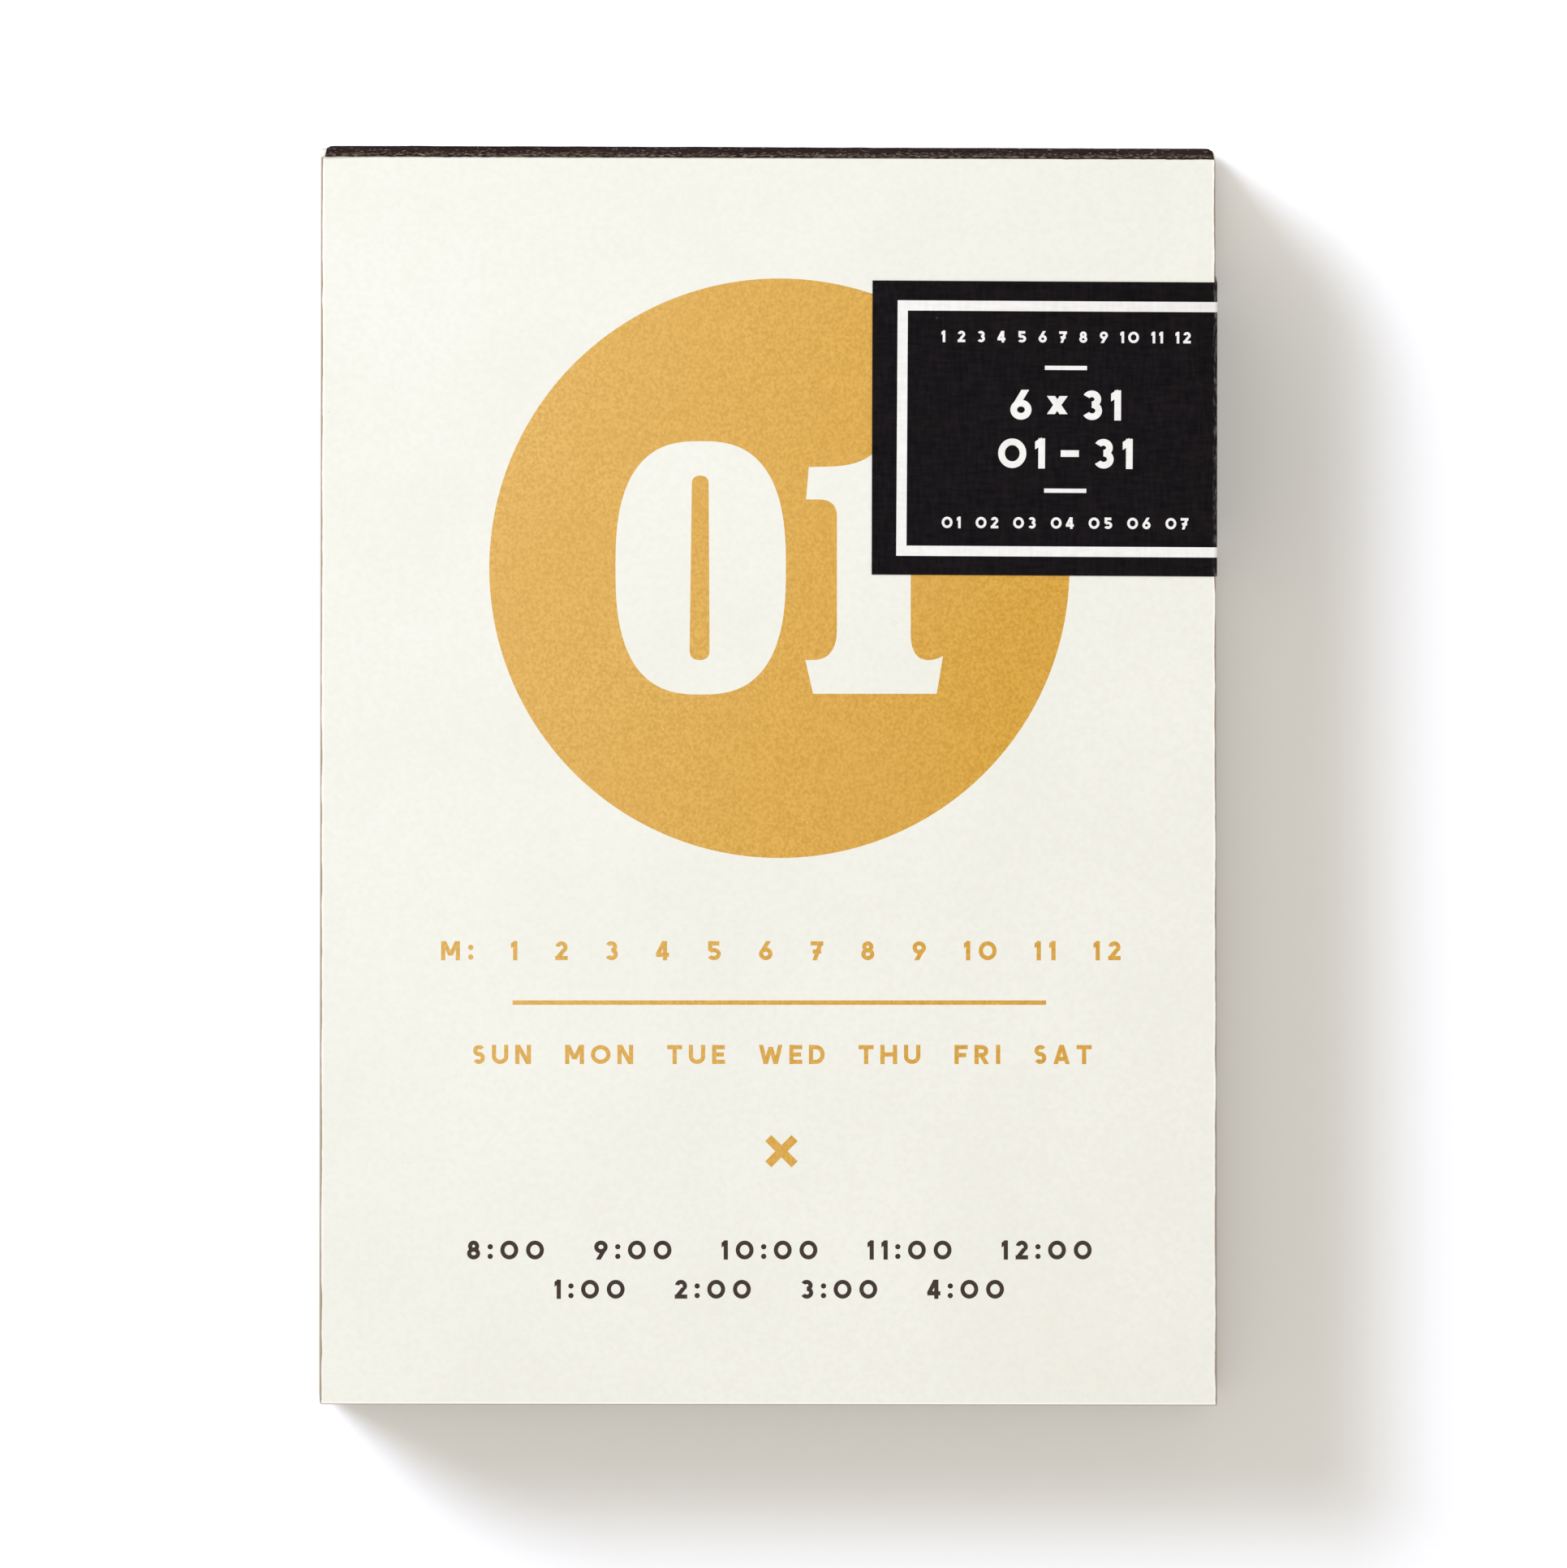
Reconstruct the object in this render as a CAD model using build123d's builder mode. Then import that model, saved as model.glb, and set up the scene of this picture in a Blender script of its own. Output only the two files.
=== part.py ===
from build123d import *
from math import cos, radians, tan
import os

os.makedirs("parts", exist_ok=True)

# Page block: a padded stack of day sheets, glued along the head and backed with board.
# It lies on its back. X runs across the page, Y points to the glued head, Z out of the front.
page_width = 127.0
page_height = 177.8
sheet_thickness = 0.13
sheets_per_month = 31
month_count = 6
single_sheet_count = 7
board_thickness = 2.0
glue_thickness = 0.5
glue_edge_radius = 0.3

# Seal label: one strip folded round the right edge, in a front, a side and a back panel.
label_thickness = 0.12
label_height = 41.9
label_front_width = 48.8
label_head_distance = 17.6

# Easel: a die-cut plate on the back with a leg that swings out and a lock tab for the leg.
easel_thickness = 1.4
easel_plate_width = 78.0
easel_plate_height = 140.0
easel_plate_radius = 5.0
easel_foot_distance = 3.0
easel_flange_height = 28.0
easel_rail_height = 10.0
leg_width_at_crease = 50.0
leg_width_at_foot = 40.0
leg_foot_radius = 4.0
leg_open_angle = 30.0
lock_drop = 66.0
lock_width = 14.0
lock_overreach = 1.5

# Clearances: the die-cut kerf round the leg and the lock tab, the leg's rise off the desk,
# and the bare board left between the back panel of the label and the easel plate.
die_cut_gap = 0.4
lock_side_gap = 0.5
desk_clearance = 0.1
label_easel_gap = 3.5

# Levels and edges that follow from the sizes above.
sheet_total = sheets_per_month * month_count
board_level = easel_thickness
stack_level = board_level + board_thickness
stack_top = stack_level + sheet_total * sheet_thickness
overall_width = page_width + label_thickness
overall_height = page_height + glue_thickness
page_x = -label_thickness / 2
page_y = -glue_thickness / 2
page_right = page_x + page_width / 2
page_head = page_y + page_height / 2
page_foot = page_y - page_height / 2
label_y = page_head - label_head_distance - label_height / 2
label_back_width = (page_width - easel_plate_width) / 2 - label_easel_gap
plate_foot = page_foot + easel_foot_distance
plate_y = plate_foot + easel_plate_height / 2
crease_y = plate_foot + easel_plate_height - easel_flange_height
window_foot = plate_foot + easel_rail_height
window_height = crease_y - window_foot
leg_length = window_height - die_cut_gap
leg_thickness = easel_thickness - desk_clearance
lock_y = crease_y - lock_drop
lock_length = lock_drop * tan(radians(leg_open_angle)) + lock_overreach
slot_foot = lock_drop / cos(radians(leg_open_angle)) + die_cut_gap
slot_head = lock_drop - lock_length - die_cut_gap
slot_width = lock_width + 2 * lock_side_gap
lock_base_length = slot_foot - die_cut_gap - lock_drop


def make_sheet(number):
    with BuildPart() as sheet:
        with BuildSketch(Plane.XY.offset(stack_top - number * sheet_thickness)):
            with Locations((page_x, page_y)):
                Rectangle(page_width, page_height)
        extrude(amount=sheet_thickness)
    sheet.part.label = f"day_sheet_{number:02d}"
    return sheet.part


# Backing board, trimmed flush with the sheets.
with BuildPart() as backing_board:
    with BuildSketch(Plane.XY.offset(board_level)):
        with Locations((page_x, page_y)):
            Rectangle(page_width, page_height)
    extrude(amount=board_thickness)
backing_board.part.label = "backing_board"
export_step(backing_board.part, "parts/backing_board.step")

# Padding glue brushed over the head of the board and all the sheets.
with BuildPart() as head_glue:
    with BuildSketch(Plane.XY.offset(board_level)):
        with Locations((page_x, page_head + glue_thickness / 2)):
            Rectangle(page_width, glue_thickness)
    extrude(amount=stack_top - board_level)
    fillet(head_glue.faces().sort_by(Axis.Y)[-1].edges(), glue_edge_radius)
head_glue.part.label = "head_glue"
export_step(head_glue.part, "parts/head_glue.step")

# The first sheets of month one are single pieces, because they lift and tear off one by one.
for number in range(1, single_sheet_count + 1):
    export_step(make_sheet(number), f"parts/day_sheet_{number:02d}.step")

# The rest of the stack, one group of separate sheets for each month.
for month in range(1, month_count + 1):
    first_number = max((month - 1) * sheets_per_month, single_sheet_count) + 1
    last_number = month * sheets_per_month
    month_sheets = Compound(
        label=f"month_{month}_sheets",
        children=[make_sheet(number) for number in range(first_number, last_number + 1)],
    )
    export_step(month_sheets, f"parts/month_{month}_sheets.step")

# Label panel on the front sheet. It reaches over the side panel's thickness at the fold.
with BuildPart() as label_front:
    with BuildSketch(Plane.XY.offset(stack_top)):
        with Locations((page_right + label_thickness, label_y)):
            Rectangle(
                label_front_width + label_thickness,
                label_height,
                align=(Align.MAX, Align.CENTER),
            )
    extrude(amount=label_thickness)
label_front.part.label = "label_front"
export_step(label_front.part, "parts/label_front.step")

# Label panel down the cut edges of the stack and the board.
with BuildPart() as label_side:
    with BuildSketch(Plane.XY.offset(board_level)):
        with Locations((page_right, label_y)):
            Rectangle(label_thickness, label_height, align=(Align.MIN, Align.CENTER))
    extrude(amount=stack_top - board_level)
label_side.part.label = "label_side"
export_step(label_side.part, "parts/label_side.step")

# Label panel under the backing board, beside the easel plate.
with BuildPart() as label_back:
    with BuildSketch(Plane.XY.offset(board_level - label_thickness)):
        with Locations((page_right + label_thickness, label_y)):
            Rectangle(
                label_back_width + label_thickness,
                label_height,
                align=(Align.MAX, Align.CENTER),
            )
    extrude(amount=label_thickness)
label_back.part.label = "label_back"
export_step(label_back.part, "parts/label_back.step")

# Easel plate, glued to the board, with a window where the leg is cut out of it.
with BuildPart() as easel_plate:
    with BuildSketch(Plane.XY):
        with Locations((page_x, plate_y)):
            RectangleRounded(easel_plate_width, easel_plate_height, easel_plate_radius)
        with BuildLine():
            Polyline(
                (page_x - leg_width_at_crease / 2, crease_y),
                (page_x + leg_width_at_crease / 2, crease_y),
                (page_x + leg_width_at_foot / 2, window_foot),
                (page_x - leg_width_at_foot / 2, window_foot),
                close=True,
            )
        make_face(mode=Mode.SUBTRACT)
    extrude(amount=easel_thickness)
easel_plate.part.label = "easel_plate"
export_step(easel_plate.part, "parts/easel_plate.step")

# Easel leg, hinged on the crease at its top edge, with a slot that the lock tab folds through.
with BuildPart() as easel_leg:
    with BuildSketch(Plane.XY.offset(desk_clearance)) as leg_outline:
        with BuildLine():
            Polyline(
                (page_x - leg_width_at_crease / 2 + die_cut_gap, crease_y),
                (page_x + leg_width_at_crease / 2 - die_cut_gap, crease_y),
                (page_x + leg_width_at_foot / 2 - die_cut_gap, crease_y - leg_length),
                (page_x - leg_width_at_foot / 2 + die_cut_gap, crease_y - leg_length),
                close=True,
            )
        make_face()
        fillet(leg_outline.vertices().group_by(Axis.Y)[0], leg_foot_radius)
        with Locations((page_x, crease_y - slot_head)):
            Rectangle(
                slot_width,
                slot_foot - slot_head,
                align=(Align.CENTER, Align.MAX),
                mode=Mode.SUBTRACT,
            )
    extrude(amount=leg_thickness)
easel_leg.part.label = "easel_leg"
export_step(easel_leg.part, "parts/easel_leg.step")

# Glued end of the lock, inside the foot of the leg's slot.
with BuildPart() as lock_base:
    with BuildSketch(Plane.XY.offset(desk_clearance)):
        with Locations((page_x, lock_y)):
            Rectangle(lock_width, lock_base_length, align=(Align.CENTER, Align.MAX))
    extrude(amount=leg_thickness)
lock_base.part.label = "lock_base"
export_step(lock_base.part, "parts/lock_base.step")

# Lock tab, creased to its glued end. Folded square to the board it props the open leg.
with BuildPart() as lock_tab:
    with BuildSketch(Plane.XY.offset(desk_clearance)):
        with Locations((page_x, lock_y)):
            Rectangle(lock_width, lock_length, align=(Align.CENTER, Align.MIN))
    extrude(amount=leg_thickness)
lock_tab.part.label = "lock_tab"
export_step(lock_tab.part, "parts/lock_tab.step")

print("overall size", overall_width, overall_height, stack_top + label_thickness)
print("sheet hinge line at y", page_head, "z", stack_top)
print("leg crease at y", crease_y, "z", desk_clearance, "lock crease at y", lock_y)
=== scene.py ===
# %% [markdown]
# # A tear-off day calendar
# The real object is a thick block of day sheets. The head of the block is glued, a board backs it, a dark
# label seals its right edge, and a board easel is stuck on the back. The imported CAD model already holds
# every size and every moving body, so this lesson only dresses it: each piece is made where the CAD says,
# and all but the three sheets under the top one then ride on a body. Paper is thought of in millimetres, so
# the measures below stay in millimetres and become metres when a mesh is made.

# %% Load the frame and read the page's edges
import math
from bisect import bisect_right

import bmesh
import bpy
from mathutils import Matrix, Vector, geometry, noise


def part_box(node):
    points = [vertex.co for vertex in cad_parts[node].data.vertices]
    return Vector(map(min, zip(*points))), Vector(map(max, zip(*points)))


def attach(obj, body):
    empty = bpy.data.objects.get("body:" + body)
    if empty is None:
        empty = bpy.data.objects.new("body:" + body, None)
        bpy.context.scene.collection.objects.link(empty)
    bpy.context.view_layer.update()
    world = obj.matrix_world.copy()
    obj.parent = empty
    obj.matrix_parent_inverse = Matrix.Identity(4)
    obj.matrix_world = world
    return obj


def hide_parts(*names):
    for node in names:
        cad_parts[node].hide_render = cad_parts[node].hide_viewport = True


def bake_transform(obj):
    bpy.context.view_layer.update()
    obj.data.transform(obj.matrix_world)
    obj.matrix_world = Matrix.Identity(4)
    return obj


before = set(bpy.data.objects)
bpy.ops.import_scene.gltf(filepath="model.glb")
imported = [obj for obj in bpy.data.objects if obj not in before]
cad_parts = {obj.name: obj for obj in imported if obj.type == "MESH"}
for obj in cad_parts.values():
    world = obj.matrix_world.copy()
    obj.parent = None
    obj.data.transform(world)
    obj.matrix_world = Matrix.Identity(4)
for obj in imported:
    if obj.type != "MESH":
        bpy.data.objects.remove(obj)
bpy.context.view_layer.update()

MM = 0.001
page_low, page_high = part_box("day_sheet_01")
LEFT, FOOT = page_low.x / MM, page_low.y / MM
RIGHT, HEAD = page_high.x / MM, page_high.y / MM
FACE = page_high.z / MM
SHEET = FACE - page_low.z / MM
BOARD_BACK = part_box("backing_board")[0].z / MM
BOARD_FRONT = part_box("backing_board")[1].z / MM
print(f"page {RIGHT - LEFT:.1f} x {HEAD - FOOT:.1f} mm, face {FACE:.2f} mm above the desk")

# %% [markdown]
# ## A cut that is not quite square
# The photograph shows that the guillotine trimmed this block a few tenths of a millimetre out of square:
# the foot is a little wider than the head, and the head slopes down to the right. One function moves any
# point of the ideal rectangle to where the cut put it, so sheets, pile, board and glue all agree.

# %% Where the guillotine put an edge
MIDDLE_X, MIDDLE_Y = (LEFT + RIGHT) / 2, (FOOT + HEAD) / 2
HALF_WIDTH, HALF_HEIGHT = (RIGHT - LEFT) / 2, (HEAD - FOOT) / 2
FOOT_SPLAY, HEAD_SLOPE, FOOT_SLOPE = 0.33, 0.225, 0.08


def as_cut(x, y):
    across = (x - MIDDLE_X) / HALF_WIDTH
    up = (y - FOOT) / (HEAD - FOOT)
    slope = HEAD_SLOPE * up + FOOT_SLOPE * (1 - up)
    return x + FOOT_SPLAY * across * (1 - up), y - slope * across


print("head left corner at", [round(value, 2) for value in as_cut(LEFT, HEAD)])

# %% [markdown]
# ## Camera
# The calendar was photographed from straight above with a long lens, since its edges run parallel. A thin
# strip of the glued head shows above the page, so the camera stands a little towards the head. The scale
# of the photograph, in pixels for each millimetre of page, gives the distance for a chosen lens.

# %% Put the camera over the page
PHOTO_WIDTH, PHOTO_HEIGHT = 1931, 1932
PIXELS_PER_MM = 8.654
PAGE_MIDDLE_PX = (946.9, 963.2)
LENS, SENSOR, FAR_CLIP = 1200.0, 36.0, 100.0
TILT = math.radians(3.05)
scene = bpy.context.scene


def put_in_scene(name, data):
    """A new object with this data, at the origin."""
    made = bpy.data.objects.new(name, data)
    scene.collection.objects.link(made)
    return made


aim_x = MIDDLE_X + (PHOTO_WIDTH / 2 - PAGE_MIDDLE_PX[0]) / PIXELS_PER_MM
aim_y = MIDDLE_Y - (PHOTO_HEIGHT / 2 - PAGE_MIDDLE_PX[1]) / PIXELS_PER_MM
distance = LENS / SENSOR * PHOTO_HEIGHT / PIXELS_PER_MM
towards_camera = Vector((0, math.sin(TILT), math.cos(TILT)))
camera = put_in_scene("camera", bpy.data.cameras.new("camera"))
camera.data.lens = LENS
camera.data.sensor_width = SENSOR
camera.data.clip_end = FAR_CLIP
camera.location = (Vector((aim_x, aim_y, FACE)) + towards_camera * distance) * MM
camera.rotation_euler = (-TILT, 0, 0)
scene.camera = camera
print(f"camera {distance / 1000:.2f} m away")

# %% [markdown]
# ## Node trees
# Finishes are node trees, and so are the rules that repeat sheets and fibres further down. Wiring nodes one
# by one makes a long script, so a small class keeps a tree and adds a node in one line: each input gets
# either a plain value or a link from another node's socket.

# %% A helper for node trees
class NodeWork:
    """A node tree under construction."""

    def __init__(self, tree):
        self.tree = tree

    def node(self, kind, inputs, **settings):
        made = self.tree.nodes.new(kind)
        for name, value in settings.items():
            setattr(made, name, value)
        for name, value in inputs.items():
            if isinstance(value, bpy.types.NodeSocket):
                self.tree.links.new(value, made.inputs[name])
            else:
                made.inputs[name].default_value = value
        return made

    def math(self, operation, first, second=0.0):
        return self.node("ShaderNodeMath", {0: first, 1: second}, operation=operation).outputs[0]

    def plus(self, first, second):
        return self.math("ADD", first, second)

    def minus(self, first, second):
        return self.math("SUBTRACT", first, second)

    def times(self, first, second):
        return self.math("MULTIPLY", first, second)

    def step(self, value, low, high, bottom=0.0, top=1.0):
        """Turns low..high into bottom..top and holds it there outside."""
        wanted = {"Value": value, "From Min": low, "From Max": high, "To Min": bottom, "To Max": top}
        return self.node("ShaderNodeMapRange", wanted).outputs[0]

    def part(self, vector, axis):
        """The X, Y or Z of a vector."""
        return self.node("ShaderNodeSeparateXYZ", {0: vector}).outputs[axis]


print("helper for node trees ready")

# %% [markdown]
# ## Colours and finishes
# A finish on paper or board is never one flat colour: it has clouds, fibres and specks. Each finish starts
# from a ground of two colours and lays more colours over it. Sizes are given in millimetres, and a pattern
# reads Object coordinates, so it stays in place on a piece that moves. A sheet that bends moves its own
# points, so its finishes read the place that each point had at rest.

# %% A helper for finishes
MIX_SHARE, MIX_FIRST, MIX_SECOND, MIX_RESULT = 0, 6, 7, 2


def paint(red, green, blue):
    """A colour as a screen shows it, from 0 to 255, in the linear values that a shader uses."""
    linear = []
    for value in (red, green, blue):
        share = value / 255
        linear.append(share / 12.92 if share <= 0.04045 else ((share + 0.055) / 1.055) ** 2.4)
    return (*linear, 1.0)


class Finish(NodeWork):
    """A material under construction."""

    def __init__(self, name, roughness, specular, bends=False):
        self.material = bpy.data.materials.new(name)
        self.material.use_nodes = True
        super().__init__(self.material.node_tree)
        self.shader = self.tree.nodes["Principled BSDF"]
        self.shader.inputs["Roughness"].default_value = roughness
        self.shader.inputs["Specular IOR Level"].default_value = specular
        if bends:
            at_rest = self.node("ShaderNodeAttribute", {}, attribute_name="rest_place")
            self.place = at_rest.outputs["Vector"]
        else:
            self.place = self.node("ShaderNodeTexCoord", {}).outputs["Object"]

    def grain(self, size, stretch=(1, 1, 1), detail=3.0):
        """Noise with spots about size mm wide, drawn out along an axis by stretch."""
        scale = [1 / (size * MM * length) for length in stretch]
        mapped = self.node("ShaderNodeMapping", {"Vector": self.place, "Scale": scale})
        wanted = {"Vector": mapped.outputs[0], "Scale": 1.0, "Detail": detail}
        return self.node("ShaderNodeTexNoise", wanted).outputs[0]

    def weave(self, size, length):
        """Two sets of streaks, one across and one up the page, as in a laid paper."""
        across = self.grain(size, (length, 1, 1))
        upright = self.grain(size, (1, length, 1))
        return self.times(self.plus(across, upright), 0.5)

    def specks(self, spacing, radius, share):
        """Round specks of a radius in mm, in a share of the cells that lie spacing mm apart."""
        wanted = {"Vector": self.place, "Scale": 1 / (spacing * MM)}
        cells = self.node("ShaderNodeTexVoronoi", wanted)
        inside = self.step(cells.outputs["Distance"], radius / spacing, 0.6 * radius / spacing)
        split = self.node("ShaderNodeSeparateColor", {0: cells.outputs["Color"]})
        return self.times(inside, self.math("LESS_THAN", split.outputs[0], share))

    def axis(self, name):
        """The X, Y or Z of a point, in mm."""
        return self.math("DIVIDE", self.part(self.place, name), MM)

    def mix(self, share, first, second):
        wanted = {MIX_SHARE: share, MIX_FIRST: first, MIX_SECOND: second}
        return self.node("ShaderNodeMix", wanted, data_type="RGBA").outputs[MIX_RESULT]

    def feed(self, name, socket):
        self.tree.links.new(socket, self.shader.inputs[name])

    def ground(self, share, first, second):
        """Colours the surface with two colours, the second by a share from 0 to 1."""
        self.colour = self.mix(share, first, second)
        self.feed("Base Color", self.colour)

    def lay(self, share, colour, strength=1.0):
        """Lays one more colour over the surface."""
        self.ground(self.times(share, strength), self.colour, colour)

    def bump(self, height, depth, strength):
        wanted = {"Height": height, "Distance": depth * MM, "Strength": strength}
        self.feed("Normal", self.node("ShaderNodeBump", wanted).outputs[0])


def keep_rest_place(mesh):
    """Stores where every point lies now, for the finishes of a piece that bends."""
    kept = mesh.attributes.new("rest_place", "FLOAT_VECTOR", "POINT")
    kept.data.foreach_set("vector", [value for vertex in mesh.vertices for value in vertex.co])


print("helper for finishes ready")

# %% [markdown]
# ## Floor and light
# The photograph has a white floor and one broad soft light from the upper left, which throws a soft
# shadow to the right and below. A sun lamp with a wide angle gives that shadow the same everywhere, the
# world fills the rest with warm light, and a square lamp near the upper left corner makes that corner of
# the page a little brighter. Three more lamps are linked to the floor alone. A lower sun and a small lamp
# at the head keep the floor white where the block would dim it, and a sun straight above keeps the shadow
# pale. Only the backing board shades that sun, so it is dark under the block. The Standard view transform
# keeps white paper white.

# %% Floor
FLOOR_HALF = 20.0
FLOOR_CORNERS = ((-1, -1), (1, -1), (1, 1), (-1, 1))
floor_mesh = bpy.data.meshes.new("floor")
floor_mesh.from_pydata([(x * FLOOR_HALF, y * FLOOR_HALF, 0) for x, y in FLOOR_CORNERS], [], [(0, 1, 2, 3)])
floor = put_in_scene("floor", floor_mesh)
floor_finish = Finish("white paper floor", 0.9, 0.1)
floor_finish.ground(floor_finish.grain(300), (0.66, 0.664, 0.682, 1), (0.67, 0.674, 0.692, 1))
floor_mesh.materials.append(floor_finish.material)
print(f"floor {2 * FLOOR_HALF:.0f} m wide")

# %% Lamps and world
DAYLIGHT, COOL_DAYLIGHT, WARM_LIGHT = (0.95, 1.0, 1.15), (0.95, 1.03, 1.26), (1.0, 0.95, 0.86)
ROOM_COLOUR, ROOM_STRENGTH = (1.0, 0.955, 0.855, 1), 0.73
SUN_WIDTH = math.radians(26)
HEAD_STRIP = {"shape": "RECTANGLE", "size": 0.16, "size_y": 0.03}


def lamp(name, kind, energy, place, target=(0, 0, 0), **settings):
    made = put_in_scene(name, bpy.data.lights.new(name, kind))
    made.data.energy = energy
    for setting, value in settings.items():
        setattr(made.data, setting, value)
    made.location = place
    made.rotation_euler = (Vector(target) - Vector(place)).to_track_quat("-Z", "Y").to_euler()
    return made


lamp("window", "SUN", 0.96, (-0.90, 0.72, 1.0), angle=SUN_WIDTH, color=DAYLIGHT)
lamp("panel", "AREA", 0.82, (-0.29, 0.19, 0.45), size=0.2, color=DAYLIGHT)
floor_wash = lamp("floor wash", "SUN", 2.25, (-1.22, 1.03, 1.0), angle=SUN_WIDTH, color=COOL_DAYLIGHT)
floor_fill = lamp("floor fill", "SUN", 0.86, (0, 0, 1), color=WARM_LIGHT)
above_head, beside_head = (0, HEAD * MM + 0.045, 0.06), (0, HEAD * MM + 0.01, 0)
head_wash = lamp("head wash", "AREA", 0.04, above_head, beside_head, **HEAD_STRIP)
head_wash.visible_camera = False
floor_only = bpy.data.collections.new("floor only")
floor_only.objects.link(floor)
for floor_lamp in (floor_wash, floor_fill, head_wash):
    floor_lamp.light_linking.receiver_collection = floor_only
shades_fill = bpy.data.collections.new("shades fill")
floor_fill.light_linking.blocker_collection = shades_fill

world = bpy.data.worlds.new("soft room")
world.use_nodes = True
world.node_tree.nodes["Background"].inputs["Color"].default_value = ROOM_COLOUR
world.node_tree.nodes["Background"].inputs["Strength"].default_value = ROOM_STRENGTH
scene.world = world
scene.view_settings.view_transform = "Standard"
print("five lamps and a world")

# %% [markdown]
# ## Page paper
# The page is uncoated, warm white paper with faint clouds and a rare speck. A painted highlight makes a pale
# rim along its edges, where the rounded cut edge catches the light, and a thin dark line runs outside that,
# wider near the foot. Where the glue was brushed on the head it crept a few tenths of a millimetre into the
# paper, so the paper darkens there. Distances from the sloping edges are worked out in nodes, because they
# follow the cut better than a picture could.

# %% Page paper and its edges
EDGE_LINE_WIDTH, EDGE_HIGHLIGHT_WIDTH = 0.16, 0.45
GLUE_CREEP, CORNER_CREEP = 0.14, 0.35

paper = Finish("warm white page paper", 0.85, 0.12, bends=True)
paper.ground(paper.step(paper.grain(26), 0.35, 0.65), paint(233, 233, 225), paint(236, 236, 229))
paper.lay(paper.step(paper.grain(0.8, detail=5), 0.36, 0.66), paint(226, 225, 215), 0.40)
paper.lay(paper.specks(9.0, 0.16, 0.12), paint(150, 130, 104), 0.45)

page_x = paper.minus(paper.axis("X"), MIDDLE_X)
page_y = paper.axis("Y")
across = paper.math("DIVIDE", page_x, HALF_WIDTH)
half_here = paper.step(page_y, FOOT, HEAD, HALF_WIDTH + FOOT_SPLAY, HALF_WIDTH)
from_side = paper.minus(half_here, paper.math("ABSOLUTE", page_x))
from_foot = paper.minus(paper.plus(page_y, paper.times(across, FOOT_SLOPE)), FOOT)
from_head = paper.minus(paper.minus(HEAD, paper.times(across, HEAD_SLOPE)), page_y)
from_edge = paper.math("MINIMUM", from_side, from_foot)

# Painted highlight: a pale rim along the side and foot edges, where the rounded cut edge catches the light.
paper.lay(paper.step(from_edge, EDGE_HIGHLIGHT_WIDTH, 0.5 * EDGE_HIGHLIGHT_WIDTH, 0.0, 0.8), paint(244, 244, 240))
# A thin dark line along the side and foot edges, wider near the foot.
edge_line_reach = paper.step(paper.grain(5.0, detail=4), 0.38, 0.64, 0.02, EDGE_LINE_WIDTH)
edge_line_reach = paper.plus(edge_line_reach, paper.step(from_foot, 50, 1, 0.0, 0.10))
edge_line_reach = paper.math("MINIMUM", edge_line_reach, paper.step(from_foot, 0.5, 2.0, 0.11, 1.0))
paper.lay(paper.step(paper.minus(edge_line_reach, from_edge), -0.03, 0.03, 0.0, 0.85), paint(140, 120, 94))
glue_creep = paper.step(paper.grain(0.7, (2.5, 1, 1)), 0.40, 0.75, -0.02, GLUE_CREEP)
paper.lay(paper.step(paper.minus(glue_creep, from_head), -0.04, 0.05), paint(46, 37, 34))
corner_creep = paper.step(page_x, 9 - HALF_WIDTH, 1 - HALF_WIDTH, 0.0, CORNER_CREEP)
paper.lay(paper.step(paper.minus(corner_creep, from_head), -0.15, 0.25, 0.0, 0.45), paint(120, 112, 102))
paper.bump(paper.grain(0.35, detail=4), 0.004, 0.5)
print(f"page paper with {len(paper.tree.nodes)} nodes")

# %% [markdown]
# ## Inks and cut edges
# The gold and the brown are matt printing inks. The gold film is grainy and has pinholes where the paper
# shows, and a painted sheen makes it lighter at the upper left and darker to the right and a little
# downwards. A cut edge of paper is darker than its face, and each sheet of the pile brings a tone of its own,
# so single sheets can be told apart.

# %% Gold ink, brown ink and cut edges
gold = Finish("gold printing ink", 0.55, 0.30, bends=True)
gold_grain = gold.step(gold.grain(0.42, (1, 1.2, 1), detail=4), 0.35, 0.65)
# Painted sheen: each colour pair below runs from the lighter gold at the upper left, where the light falls,
# to the darker gold to the right and lower down.
sheen_drift = gold.step(gold.axis("Y"), HEAD - 17, HEAD - 100, -9, 9)
painted_sheen_share = gold.step(gold.plus(gold.axis("X"), sheen_drift), MIDDLE_X - 48, MIDDLE_X + 42)
gold_dark = gold.mix(painted_sheen_share, paint(205, 162, 83), paint(196, 145, 45))
gold_light = gold.mix(painted_sheen_share, paint(225, 183, 103), paint(216, 166, 64))
gold.ground(gold_grain, gold_dark, gold_light)
gold.lay(gold.step(gold.grain(24), 0.35, 0.65), paint(211, 163, 77), 0.3)
gold.lay(gold.specks(1.7, 0.14, 0.20), paint(244, 220, 168), 0.45)
gold.lay(gold.specks(7.0, 0.15, 0.14), paint(140, 104, 50), 0.5)
gold.bump(gold_grain, 0.006, 0.5)

brown = Finish("brown printing ink", 0.7, 0.12, bends=True)
brown_weave = brown.step(brown.weave(0.4, 4), 0.36, 0.64)
brown.ground(brown_weave, paint(56, 46, 41), paint(72, 60, 54))
brown.bump(brown_weave, 0.005, 0.5)

cut_edge = Finish("cut paper edge", 0.9, 0.08, bends=True)
edge_tone = cut_edge.node("ShaderNodeAttribute", {}, attribute_name="tone").outputs["Fac"]
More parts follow.
